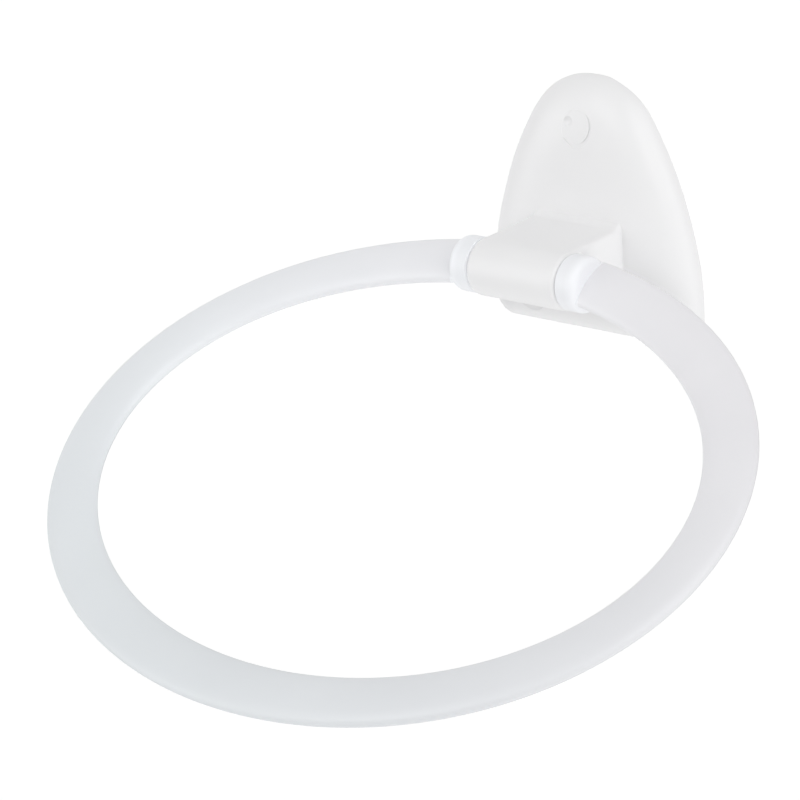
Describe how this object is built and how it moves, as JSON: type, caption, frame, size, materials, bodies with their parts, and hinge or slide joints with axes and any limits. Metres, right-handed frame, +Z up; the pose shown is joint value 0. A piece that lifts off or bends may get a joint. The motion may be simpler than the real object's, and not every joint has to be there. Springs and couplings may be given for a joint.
{
  "type": "oval towel holder",
  "caption": "Wall-mounted oval towel holder: an open oval hoop of flat section that swings on a horizontal barrel carried by an arch-shaped wall bracket.",
  "frame": {"origin": "on the wall plane, behind the middle of the barrel and level with its axis", "axes": "+X along the barrel to the right of a person facing the wall, +Y into the wall, +Z up"},
  "size_m": [0.2146, 0.1518, 0.1318],
  "materials": {
    "bracket_plastic": "satin",
    "hoop_plastic": "satin",
    "cap_plastic": "satin"
  },
  "bodies": {
    "bracket": {"wall_bracket": "bracket_plastic", "screw_cap_top": "cap_plastic", "screw_cap_left": "cap_plastic", "screw_cap_right": "cap_plastic"},
    "hoop": {"towel_ring": "hoop_plastic"}
  },
  "joints": [
    {"name": "hoop_swing", "type": "hinge", "parent": "bracket", "child": "hoop", "pos_m": [0, -0.0302, 0], "axis": [1, 0, 0], "range_deg": [-135, 66]}
  ]
}
